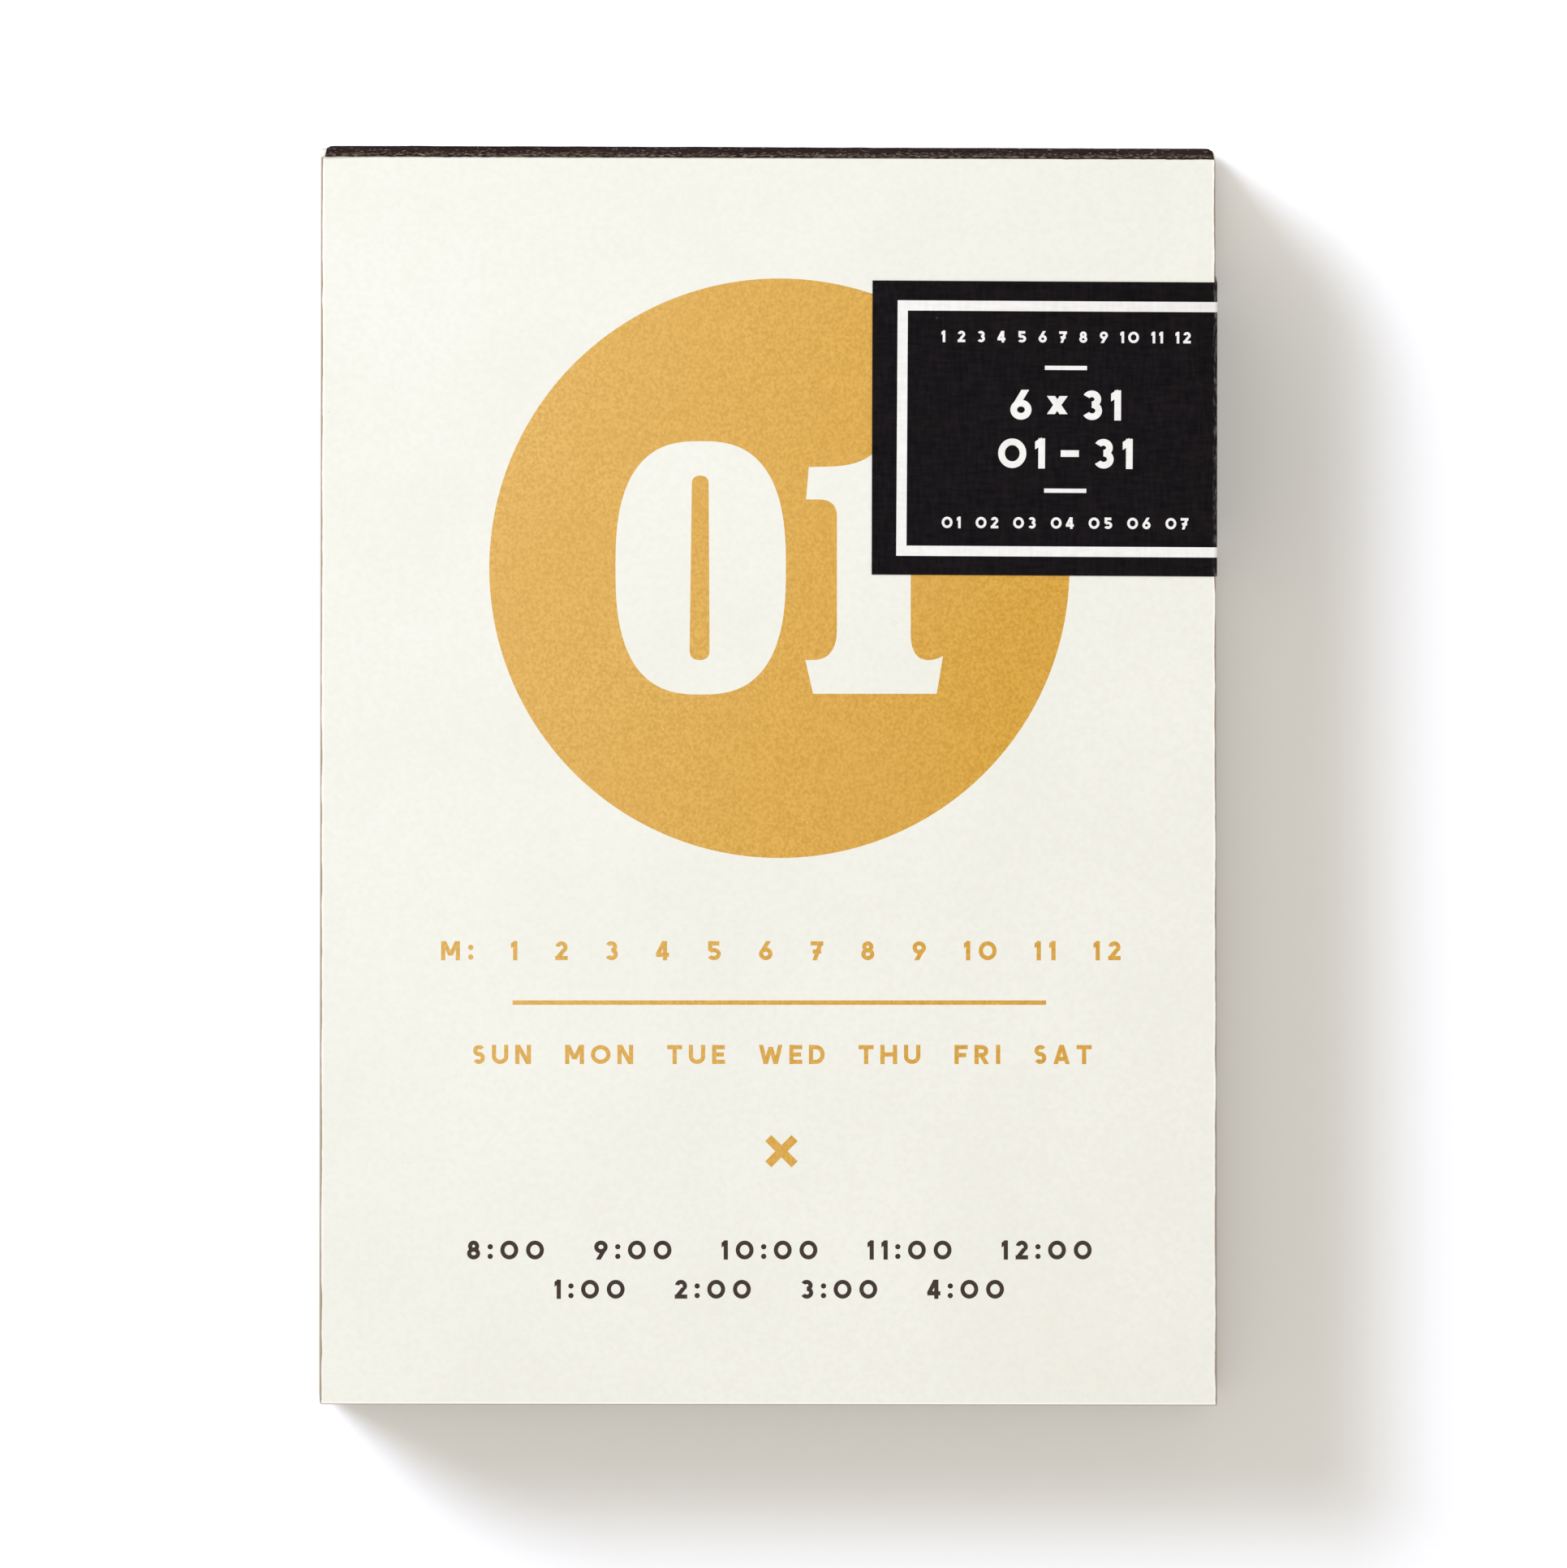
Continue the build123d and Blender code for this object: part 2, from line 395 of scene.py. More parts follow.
# Thin streaks along the sheets: partly tone that differs at random, partly painted shade in the gaps between
# sheets.
streaks_and_gap_shade = cut_edge.grain(0.5, (30, 30, 0.5))
edge_share = cut_edge.step(cut_edge.plus(streaks_and_gap_shade, edge_tone), 0.3, 1.4)
cut_edge.ground(edge_share, paint(203, 194, 175), paint(231, 226, 213))
cut_edge.lay(cut_edge.step(cut_edge.axis("Y"), HEAD - 0.30, HEAD - 0.10, 0.0, 0.7), paint(243, 242, 237))
cut_edge.bump(cut_edge.grain(0.3, (6, 6, 0.3)), 0.01, 0.6)
print("three more finishes for the printed sheets")

# %% [markdown]
# ## Flat shapes to print with
# Everything printed is a flat closed outline in millimetres. Round forms come from a formula, and the fat
# slab numerals from a few corners and curves. Drawing them as outlines, not with a font, keeps the file
# free of anything that may not be there on another computer.

# %% Round forms, boxes and free outlines
CURVE_STEPS = 10


def oval(x, y, half_width, half_height, power=2.0, corners=120):
    """An ellipse at power 2; a higher power squares its shoulders."""
    points = []
    for turn in range(corners):
        angle = 2 * math.pi * turn / corners
        across, up = math.cos(angle), math.sin(angle)
        out = math.copysign(abs(across) ** (2 / power), across)
        rise = math.copysign(abs(up) ** (2 / power), up)
        points.append((x + half_width * out, y + half_height * rise))
    return points


def box(x, y, half_width, half_height, radius=0.0, turns=8):
    """A rectangle about x, y with rounded corners."""
    points = []
    for quarter, (side, level) in enumerate(((1, 1), (-1, 1), (-1, -1), (1, -1))):
        corner_x, corner_y = x + side * (half_width - radius), y + level * (half_height - radius)
        for turn in range(turns + 1 if radius else 1):
            angle = math.pi / 2 * (quarter + turn / turns)
            points.append((corner_x + radius * math.cos(angle), corner_y + radius * math.sin(angle)))
    return points


def outline(*steps):
    """Corners (x, y), and curves (pull_x, pull_y, x, y) that bend towards the first pair."""
    points = []
    for step in steps:
        if len(step) == 2:
            points.append(step)
            continue
        start, pull, end = Vector(points[-1]), Vector(step[:2]), Vector(step[2:])
        for part in range(1, CURVE_STEPS + 1):
            t = part / CURVE_STEPS
            points.append(tuple((1 - t) ** 2 * start + 2 * t * (1 - t) * pull + t * t * end))
    return points


print(f"flat shapes ready, a circle has {len(oval(0, 0, 1, 1))} corners")

# %% [markdown]
# ## Fat slab numerals
# The day stands in heavy numerals with square feet and narrow openings. Each one is drawn from its lower
# left corner, stands on y = 0 and is about 36 mm tall. An opening that is closed all round is an outline of
# its own, which is printed over the numeral in the colour behind it.

# %% Numerals and their openings
CAP = 36.2
NUMERALS = {
    0: oval(12.1, 17.95, 12.13, 18.05, 2.65),
    1: outline(
        (1.1, 0), (18.7, 0), (19.6, 5.4), (18.4, 4.7, 17.2, 4.8), (15.0, 5.1, 15.0, 8.6), (15.0, CAP),
        (11.3, CAP), (9.3, 32.6, 4.0, 32.4), (0.5, 32.3), (0.1, 27.7), (1.9, 27.7), (4.5, 27.7, 4.5, 25.3),
        (4.5, 9.2), (4.5, 4.8, 1.0, 4.8), (0, 4.8),
    ),
    2: outline(
        (0.4, 0), (22.0, 0), (22.6, 11.6), (18.9, 11.6), (18.6, 9.2, 17.4, 9.2), (10.0, 9.2),
        (10.6, 11.6, 14.6, 14.6), (22.0, 20.0, 22.0, 26.4), (22.0, 36.4, 11.0, 36.4),
        (0.6, 36.4, 0.8, 24.2), (9.0, 24.2), (8.4, 27.6), (8.2, 31.6, 10.0, 31.6),
        (11.6, 31.6, 11.6, 26.6), (11.6, 20.0, 6.6, 15.8), (1.0, 11.0, 0.4, 4.8),
    ),
    3: outline(
        (0.2, 11.4), (0.2, -0.3, 11.0, -0.3), (22.4, -0.3, 22.4, 10.0), (22.4, 17.6, 15.6, 19.4),
        (21.2, 21.4, 21.2, 27.6), (21.2, 36.4, 11.0, 36.4), (0.6, 36.4, 0.8, 25.0), (8.6, 25.0),
        (8.2, 28.2), (8.0, 31.6, 9.6, 31.6), (11.0, 31.6, 11.0, 27.0), (11.0, 21.2, 8.0, 21.2),
        (6.6, 21.2), (6.6, 16.6), (8.0, 16.6), (12.0, 16.6, 12.0, 9.6), (12.0, 4.5, 9.9, 4.5),
        (7.9, 4.5, 8.0, 8.6), (8.2, 11.4),
    ),
    4: outline(
        (4.6, 0), (21.4, 0), (21.4, 4.2), (18.2, 4.2, 18.2, 6.0), (18.2, 7.6), (22.8, 7.6), (22.8, 12.4),
        (18.2, 12.4), (18.2, CAP), (11.0, CAP), (0, 11.4), (0, 7.6), (7.8, 7.6), (7.8, 6.0),
        (7.8, 4.2, 4.6, 4.2),
    ),
    5: outline(
        (0.2, 11.0), (0.2, -0.3, 10.8, -0.3), (22.6, -0.3, 22.6, 12.2), (22.6, 24.0, 12.2, 24.0),
        (8.2, 24.0, 5.8, 22.2), (6.0, 28.4), (19.6, 28.4), (20.6, CAP), (2.4, CAP), (1.6, 16.9),
        (6.8, 16.9), (7.6, 19.2, 9.6, 19.2), (12.2, 19.2, 12.2, 11.6), (12.2, 4.5, 9.9, 4.5),
        (7.9, 4.5, 8.0, 8.4), (8.2, 11.0),
    ),
}
OPENINGS = {
    0: outline(
        (10.52, 6.2), (10.52, 4.8, 11.94, 4.8), (13.36, 4.8, 13.36, 6.2), (13.24, 29.9),
        (13.24, 31.1, 12.04, 31.1), (10.84, 31.1, 10.84, 29.9),
    ),
    4: [(3.4, 12.4), (7.8, 12.4), (7.8, 24.0)],
}
print(f"{len(NUMERALS)} numerals drawn, {len(OPENINGS)} with an opening")

# %% [markdown]
# ## A stroke alphabet
# The small rows are set in bold capitals with one even stroke, so a letter is only a few bars and bows.
# Upright and slanted bars are cut level at their ends and lying bars are cut upright, as in a drawn
# alphabet, which keeps every row crisp along its top and foot.

# %% Bars and bows
STROKE = 0.22
HALF_STROKE = STROKE / 2
BOW_STEP, FEWEST_BOW_STEPS = 9, 6


def bar(x0, y0, x1, y1):
    run, rise = abs(x1 - x0), abs(y1 - y0)
    half = HALF_STROKE * math.hypot(run, rise) / max(run, rise)
    if rise >= run:
        return [(x0 - half, y0), (x0 + half, y0), (x1 + half, y1), (x1 - half, y1)]
    return [(x0, y0 - half), (x1, y1 - half), (x1, y1 + half), (x0, y0 + half)]


def bow(x, y, across, up, first, last):
    """A ribbon along part of an ellipse, from one angle in degrees to another."""
    steps = max(FEWEST_BOW_STEPS, int(abs(last - first) / BOW_STEP))
    turns = [math.radians(first + (last - first) * step / steps) for step in range(steps + 1)]
    ribbon = []
    for side, order in ((HALF_STROKE, turns), (-HALF_STROKE, turns[::-1])):
        ribbon += [(x + (across + side) * math.cos(a), y + (up + side) * math.sin(a)) for a in order]
    return ribbon


print(f"strokes {STROKE} of a letter's height wide")

# %% Letters, numbers and signs
# A letter is its width and its strokes for a height of 1. Three numbers are a dot, four a bar, six a bow.
STEM = (0.12, 0, 0.12, 1)
ALPHABET = {
    "0": (0.95, [(0.475, 0.5, 0.355, 0.38, 0, 360)]),
    "1": (0.34, [(0.22, 0, 0.22, 1), (0.0, 0.76, 0.22, 0.9)]),
    "2": (0.65, [(0.325, 0.68, 0.205, 0.20, 170, -35), (0.50, 0.60, 0.15, 0.16), (0, 0.12, 0.65, 0.12)]),
    "3": (0.66, [(0.30, 0.70, 0.20, 0.18, 150, -90), (0.31, 0.32, 0.22, 0.20, 90, -150)]),
    "4": (0.68, [(0.44, 1, 0.10, 0.32), (0, 0.29, 0.68, 0.29), (0.47, 0, 0.47, 1)]),
    "5": (0.74, [(0.18, 0.48, 0.18, 1), (0.08, 0.88, 0.65, 0.88), (0.36, 0.325, 0.26, 0.205, 140, -145)]),
    "6": (0.72, [(0.36, 0.34, 0.24, 0.22, 0, 360), (0.50, 1, 0.18, 0.46)]),
    "7": (0.67, [(0, 0.88, 0.67, 0.88), (0.53, 0.9, 0.22, 0), (0.12, 0.46, 0.56, 0.46)]),
    "8": (0.70, [(0.35, 0.70, 0.18, 0.18, 0, 360), (0.35, 0.32, 0.23, 0.20, 0, 360)]),
    "9": (0.72, [(0.36, 0.66, 0.24, 0.22, 0, 360), (0.22, 0, 0.54, 0.54)]),
    ":": (0.26, [(0.13, 0.17, 0.14), (0.13, 0.67, 0.14)]),
    "-": (0.60, [(0, 0.5, 0.60, 0.5)]),
    "x": (0.66, [(0.12, 0.2, 0.54, 0.8), (0.54, 0.2, 0.12, 0.8)]),
    "A": (0.88, [(0.13, 0, 0.44, 1), (0.75, 0, 0.44, 1), (0.21, 0.27, 0.67, 0.27)]),
    "D": (0.84, [STEM, (0.1, 0.88, 0.38, 0.88), (0.1, 0.12, 0.38, 0.12), (0.38, 0.5, 0.34, 0.38, -90, 90)]),
    "E": (0.68, [STEM, (0.1, 0.88, 0.68, 0.88), (0.1, 0.5, 0.62, 0.5), (0.1, 0.12, 0.68, 0.12)]),
    "F": (0.70, [STEM, (0.1, 0.88, 0.70, 0.88), (0.1, 0.47, 0.62, 0.47)]),
    "H": (0.89, [STEM, (0.77, 0, 0.77, 1), (0.12, 0.5, 0.77, 0.5)]),
    "I": (0.24, [STEM]),
    "M": (1.00, [STEM, (0.88, 0, 0.88, 1), (0.15, 1, 0.50, 0.25), (0.85, 1, 0.50, 0.25)]),
    "N": (0.84, [STEM, (0.72, 0, 0.72, 1), (0.14, 1, 0.70, 0)]),
    "O": (1.04, [(0.52, 0.5, 0.40, 0.38, 0, 360)]),
    "R": (0.78, [STEM, (0.1, 0.88, 0.40, 0.88), (0.1, 0.47, 0.40, 0.47),
                 (0.40, 0.675, 0.22, 0.205, -90, 90), (0.36, 0.47, 0.64, 0)]),
    "S": (0.65, [(0.33, 0.70, 0.20, 0.18, 35, 270), (0.32, 0.32, 0.205, 0.20, 90, -150)]),
    "T": (0.78, [(0, 0.88, 0.78, 0.88), (0.39, 0, 0.39, 0.9)]),
    "U": (0.87, [(0.12, 0.38, 0.12, 1), (0.75, 0.38, 0.75, 1), (0.435, 0.40, 0.315, 0.28, 180, 360)]),
    "W": (1.24, [(0.12, 1, 0.36, 0), (0.36, 0, 0.62, 0.9), (0.62, 0.9, 0.88, 0), (0.88, 0, 1.12, 1)]),
}
print(f"{len(ALPHABET)} letters, numbers and signs")

# %% Set a row of type
DOT_CORNERS, RING_CORNERS, RING_HOLE_CORNERS = 16, 40, 32


def letter_shapes(letter, ink, ground):
    """A letter of height 1 as (ink, outline) shapes. The hole of a ring is printed in the ground's name."""
    shapes = []
    for stroke in ALPHABET[letter][1]:
        if len(stroke) == 3:
            x, y, radius = stroke
            shapes.append((ink, oval(x, y, radius, radius, corners=DOT_CORNERS)))
        elif len(stroke) == 4:
            shapes.append((ink, bar(*stroke)))
        elif stroke[5] - stroke[4] == 360:
            x, y, across, up = stroke[:4]
            rings = ((ink, HALF_STROKE, RING_CORNERS), (ground, -HALF_STROKE, RING_HOLE_CORNERS))
            for name, side, corners in rings:
                shapes.append((name, oval(x, y, across + side, up + side, corners=corners)))
        else:
            shapes.append((ink, bow(*stroke)))
    return shapes


def row_of_type(text, ink, ground, middle_x, middle_y, height, letter_gap, word_gap):
    """A row of text about its middle as (ink, outline) shapes."""
    length, gap = 0.0, 0.0
    places = []
    for letter in text:
        if letter == " ":
            gap = word_gap
            continue
        length += gap
        places.append((letter, length))
        length += ALPHABET[letter][0] * height
        gap = letter_gap
    shapes = []
    for letter, start in places:
        left, foot = middle_x - length / 2 + start, middle_y - height / 2
        for name, points in letter_shapes(letter, ink, ground):
            shapes.append((name, [(left + x * height, foot + y * height) for x, y in points]))
    return shapes


print(f"the word ONE takes {len(row_of_type('ONE', 'gold', 'paper', 0, 0, 1, 0, 0))} outlines")

# %% [markdown]
# ## What a day sheet shows
# A gold disc carries the day in paper white, as a two-figure number. Below it stand a row of month
# numbers, a rule, the days of the week, a small cross and two rows of hours in brown. The print sits a
# little to the right of the page's middle. Each shape names its ink, and a later shape covers an earlier.

# %% Lay out the print of one day
PRINT_X = MIDDLE_X + 1.56
DISC_Y, DISC_RADIUS, DISC_CORNERS = HEAD - 58.48, 41.3, 180
NUMERAL_FOOT = DISC_Y - 17.88
FIRST_FIGURE_X, SECOND_FIGURE_X, NARROW_ONE_SHIFT = PRINT_X - 23.3, PRINT_X + 2.5, 1.2
RULE_Y, RULE_HALF_LENGTH, RULE_HALF_WIDTH = HEAD - 120.4, 38.0, 0.32
CROSS_X, CROSS_Y, CROSS_HALF_LENGTH, CROSS_HALF_WIDTH = PRINT_X + 0.3, HEAD - 141.6, 2.66, 0.62
ROW_HEIGHT = 2.75
# Middle, height, gap between letters and gap between words.
MONTH_ROW = (PRINT_X + 0.2, HEAD - 113.0, ROW_HEIGHT, 1.15, 5.37)
WEEKDAY_ROW = (PRINT_X + 0.4, HEAD - 127.8, ROW_HEIGHT, 0.92, 4.8)
HOUR_ROWS = [(PRINT_X, HEAD - drop, ROW_HEIGHT, 1.05, 7.1) for drop in (155.7, 161.3)]
MONTHS = " ".join(str(month) for month in range(1, 13))
WEEKDAYS = "SUN MON TUE WED THU FRI SAT"
HOURS = ("8:00 9:00 10:00 11:00 12:00", "1:00 2:00 3:00 4:00")


def slanted_bar(x, y, half_length, half_width, angle):
    along = Vector((math.cos(angle), math.sin(angle)))
    side = Vector((-along.y, along.x)) * half_width
    ends = [-along * half_length - side, along * half_length - side]
    ends += [along * half_length + side, -along * half_length + side]
    return [(x + end.x, y + end.y) for end in ends]


def day_print(day):
    shapes = [("gold", oval(PRINT_X, DISC_Y, DISC_RADIUS, DISC_RADIUS, corners=DISC_CORNERS))]
    second_x = SECOND_FIGURE_X + (NARROW_ONE_SHIFT if day % 10 == 1 else 0)
    for figure, left in ((day // 10, FIRST_FIGURE_X), (day % 10, second_x)):
        for ink, drawings in (("paper", NUMERALS), ("gold", OPENINGS)):
            if figure in drawings:
                shapes.append((ink, [(left + x, NUMERAL_FOOT + y) for x, y in drawings[figure]]))
    shapes += row_of_type("M: " + MONTHS, "gold", "paper", *MONTH_ROW)
    shapes.append(("gold", box(PRINT_X, RULE_Y, RULE_HALF_LENGTH, RULE_HALF_WIDTH)))
    shapes += row_of_type(WEEKDAYS, "gold", "paper", *WEEKDAY_ROW)
    for angle in (math.pi / 4, -math.pi / 4):
        cross_bar = slanted_bar(CROSS_X, CROSS_Y, CROSS_HALF_LENGTH, CROSS_HALF_WIDTH, angle)
        shapes.append(("gold", cross_bar))
    for text, row in zip(HOURS, HOUR_ROWS):
        shapes += row_of_type(text, "brown", "paper", *row)
    return shapes


print(f"{len(day_print(1))} outlines printed on a sheet")

# %% [markdown]
# ## Cutting print into a sheet
# A second layer of faces for the ink would float over the paper and poke through the next sheet. Here the
# top face of the sheet itself is cut along every printed edge by a constrained triangulation, and each
# triangle gets the ink of the last outline that covers it. The flat result becomes a closed thin shell.

# %% Triangulate a flat sheet
ONLY_INSIDE, SAME_POINT = 1, 1e-5


def cut_sheet(edge, shapes, crossing_lines):
    """Points, triangles and the ink of each triangle for a flat sheet with print."""
    points, lines, outlines = [], [], []
    for ink, shape in [("paper", edge), *shapes]:
        twice_area = sum(a[0] * b[1] - b[0] * a[1] for a, b in zip(shape, [*shape[1:], shape[0]]))
        ordered = shape if twice_area > 0 else shape[::-1]
        outlines.append(list(range(len(points), len(points) + len(ordered))))
        points += [Vector(point) for point in ordered]
    for start, end in crossing_lines:
        lines.append((len(points), len(points) + 1))
        points += [Vector(start), Vector(end)]
    made = geometry.delaunay_2d_cdt(points, lines, outlines, ONLY_INSIDE, SAME_POINT, True)
    inks = ["paper", *[ink for ink, shape in shapes]]
    kept = [(face, inks[max(found)]) for face, found in zip(made[2], made[5]) if 0 in found]
    return made[0], [face for face, ink in kept], [ink for face, ink in kept]


print("sheet cutter ready")

# %% Close a skin into a shell
def smooth(mesh, sharp_angle):
    """Shades a mesh smooth, apart from edges that turn by more than an angle in degrees."""
    mesh.polygons.foreach_set("use_smooth", [True] * len(mesh.polygons))
    mesh.set_sharp_from_angle(angle=math.radians(sharp_angle))


def closed_shell(name, tops, bottoms, faces, slots, finishes, wall_slot=0):
    """A closed piece from a top skin, the matching bottom skin and walls between their rims."""
    count = len(tops)
    rim = {(a, b) for face in faces for a, b in zip(face, [*face[1:], face[0]])}
    walls = [(b, a, count + a, count + b) for a, b in sorted(rim) if (b, a) not in rim]
    polygons = [tuple(face) for face in faces]
    polygons += [tuple(count + corner for corner in reversed(face)) for face in faces]
    mesh = bpy.data.meshes.new(name)
    mesh.from_pydata([Vector(p) * MM for p in [*tops, *bottoms]], [], polygons + walls)
    indices = list(slots) + [0] * len(faces) + [wall_slot] * len(walls)
    mesh.polygons.foreach_set("material_index", indices)
    for finish in finishes:
        mesh.materials.append(finish.material)
    whole = bmesh.new()
    whole.from_mesh(mesh)
    loose = [vertex for vertex in whole.verts if not vertex.link_faces]
    bmesh.ops.delete(whole, geom=loose, context="VERTS")
    whole.to_mesh(mesh)
    whole.free()
    smooth(mesh, 40)
    return put_in_scene(name, mesh)


print("shell maker ready")

# %% [markdown]
# ## The first five day sheets
# The top sheet can be torn off, and the next three lift about the glued head, so each is a piece of its
# own. A lifted sheet stays held by the glue and bends just below it, over its first 6 mm. Crossing lines near
# the head give that bend enough points to look round. The top sheet doesn't bend, so it ends on the hinge
# line: a corner behind that line would turn into the next sheet.

# %% Make the printed sheets and let the first and the fifth ride
PRINTED_SHEETS = 5
BEND_LENGTH, BEND_LINES = 6.0, 14
PAGE_CORNER, PAGE_CORNER_TURNS = 0.35, 5
SHEET_FILL = 0.95
SHEET_SHIFT, SHIFT_TURN = 0.09, 2.4
INKS = ("paper", "gold", "brown")
PAGE_FINISHES = (paper, gold, brown, cut_edge)
EDGE_SLOT = PAGE_FINISHES.index(cut_edge)


def day_sheet(day):
    shift = SHEET_SHIFT * math.sin(SHIFT_TURN * (day - 1))
    square = box(MIDDLE_X, MIDDLE_Y, HALF_WIDTH, HALF_HEIGHT, PAGE_CORNER, PAGE_CORNER_TURNS)
    head_limit = HEAD if day == 1 else math.inf
    edge = [(x + shift, min(y, head_limit)) for x, y in (as_cut(*corner) for corner in square)]
    bend = []
    for line in range(1, BEND_LINES + 1):
        y = HEAD - PAGE_CORNER - (BEND_LENGTH + 1) * line / BEND_LINES
        bend.append(((LEFT - 1, y), (RIGHT + 1, y)))
    points, faces, inks = cut_sheet(edge, day_print(day), bend)
    top = FACE - (day - 1) * SHEET
    tops = [(x, y, top) for x, y in points]
    bottoms = [(x, y, top - SHEET * SHEET_FILL) for x, y in points]
    slots = [INKS.index(ink) for ink in inks]
    made = closed_shell(f"page_{day:02d}", tops, bottoms, faces, slots, PAGE_FINISHES, EDGE_SLOT)
    keep_rest_place(made.data)
    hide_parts(f"day_sheet_{day:02d}")
    return made


pages = {day: day_sheet(day) for day in range(1, PRINTED_SHEETS + 1)}
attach(pages[1], "sheet_01")
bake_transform(pages[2])
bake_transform(pages[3])
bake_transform(pages[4])
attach(pages[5], "block")
print(f"{PRINTED_SHEETS} printed sheets, {len(pages[1].data.polygons)} faces on the first")

# %% [markdown]
# ## Growing what repeats
# Below the first five lie 181 more sheets that never move apart, and the glue holds thousands of fibres.
# Both follow a rule, so Geometry Nodes makes them. A second class keeps such a tree: it lists the inputs
# that can be set, draws random values from a seed, and keeps the result as a plain mesh.

# %% A helper for Geometry Nodes
class Growth(NodeWork):
    """A Geometry Nodes tree under construction, and the piece that it grows."""

    def __init__(self, name, inputs):
        super().__init__(bpy.data.node_groups.new(name, "GeometryNodeTree"))
        self.keys = {}
        for label, kind in inputs.items():
            made = self.tree.interface.new_socket(label, in_out="INPUT", socket_type="NodeSocket" + kind)
            self.keys[label] = made.identifier
        self.tree.interface.new_socket("Geometry", in_out="OUTPUT", socket_type="NodeSocketGeometry")
        self.group_input = self.tree.nodes.new("NodeGroupInput")
        self.group_output = self.tree.nodes.new("NodeGroupOutput")

    def given(self, label):
        """The socket of an input that is set when the tree runs."""
        return self.group_input.outputs[label]

    def random(self, seed_step, low, high, **inputs):
        """A seeded vector between low and high for each point."""
        seed = self.plus(self.given("Seed"), seed_step)
        wanted = {"Min": low, "Max": high, "Seed": seed, **inputs}
        return self.node("FunctionNodeRandomValue", wanted, data_type="FLOAT_VECTOR").outputs["Value"]

    def result(self, instances):
        """Makes the instances real, gives them the material and ends the tree."""
        real = self.node("GeometryNodeRealizeInstances", {"Geometry": instances})
        wanted = {"Geometry": real.outputs["Geometry"], "Material": self.given("Material")}
        dressed = self.node("GeometryNodeSetMaterial", wanted)
        self.tree.links.new(dressed.outputs["Geometry"], self.group_output.inputs["Geometry"])

    def grow(self, name, values, base=None):
        """Runs the tree on a base mesh, or on nothing, and returns a plain mesh object at the origin."""
        host = put_in_scene(name + "_host", base or bpy.data.meshes.new(name + "_host"))
        modifier = host.modifiers.new("grow", "NODES")
        modifier.node_group = self.tree
        for label, value in values.items():
            modifier[self.keys[label]] = value
        seen = bpy.context.evaluated_depsgraph_get()
        mesh = bpy.data.meshes.new_from_object(
            host.evaluated_get(seen), preserve_all_data_layers=True, depsgraph=seen
        )
        mesh.name = name
        host.modifiers.remove(modifier)
        bpy.data.objects.remove(host)
        return put_in_scene(name, mesh)


print("helper for Geometry Nodes ready")

# %% [markdown]
# ## The rest of the sheets
# The pile is a line of points with one thin box on each, a small seeded stray for each sheet and a larger
# one for each lift of sheets that went through the guillotine together. The blade leans a little, so the
# pile grows wider towards the board, mostly to the left. Each sheet stores a tone for the cut-edge finish.

# %% Build the node tree for a pile of sheets
STRAY_LOW, STRAY_HIGH = (-1, -1, 0), (1, 0.2, 0)
SHEET_SEED_STEP, LIFT_SEED_STEP, TONE_SEED = 0, 7, 3
pile_tree = Growth(
    "pile of sheets",
    {
        "Sheets": "Int", "Lowest": "Vector", "Sheet Size": "Vector", "Step": "Vector", "Stray": "Float",
        "Lift Stray": "Float", "Sheets in a Lift": "Int", "Flare": "Float", "Lean": "Float", "Seed": "Int",
        "Material": "Material",
    },
)
given = pile_tree.given


def stray(part, seed_step, amount):
    """A seeded shift of up to the amount, across and along the sheet."""
    drawn = pile_tree.random(seed_step, STRAY_LOW, STRAY_HIGH, ID=part)
    wanted = {0: drawn, "Scale": given(amount)}
    return pile_tree.node("ShaderNodeVectorMath", wanted, operation="SCALE").outputs[0]


def added(first, second):
    return pile_tree.node("ShaderNodeVectorMath", {0: first, 1: second}, operation="ADD").outputs[0]


number = pile_tree.node("GeometryNodeInputIndex", {}).outputs[0]
lift = pile_tree.math("FLOOR", pile_tree.math("DIVIDE", number, given("Sheets in a Lift")))
height = pile_tree.math("DIVIDE", number, given("Sheets"))
lean = pile_tree.node("ShaderNodeCombineXYZ", {"X": pile_tree.step(height, 0, 1, given("Lean"), 0.0)})
strays = added(stray(number, SHEET_SEED_STEP, "Stray"), stray(lift, LIFT_SEED_STEP, "Lift Stray"))
line = pile_tree.node(
    "GeometryNodeMeshLine",
    {"Count": given("Sheets"), "Start Location": given("Lowest"), "Offset": given("Step")},
)
strayed = pile_tree.node(
    "GeometryNodeSetPosition",
    {"Geometry": line.outputs["Mesh"], "Offset": added(strays, lean.outputs[0])},
)
flare = pile_tree.step(height, 0, 1, given("Flare"), 1.0)
wide = pile_tree.node("ShaderNodeCombineXYZ", {"X": flare, "Y": 1.0, "Z": 1.0})
one_sheet = pile_tree.node("GeometryNodeMeshCube", {"Size": given("Sheet Size")})
placed = pile_tree.node(
    "GeometryNodeInstanceOnPoints",
    {
        "Points": strayed.outputs["Geometry"],
        "Instance": one_sheet.outputs["Mesh"],
        "Scale": wide.outputs[0],
    },
)
tone = pile_tree.node("FunctionNodeRandomValue", {"ID": number, "Seed": TONE_SEED}, data_type="FLOAT")
toned = pile_tree.node(
    "GeometryNodeStoreNamedAttribute",
    {"Geometry": placed.outputs["Instances"], "Name": "tone", "Value": tone.outputs[1]},
    data_type="FLOAT",
    domain="INSTANCE",
)
pile_tree.result(toned.outputs["Geometry"])
print(f"pile tree with {len(pile_tree.tree.nodes)} nodes")

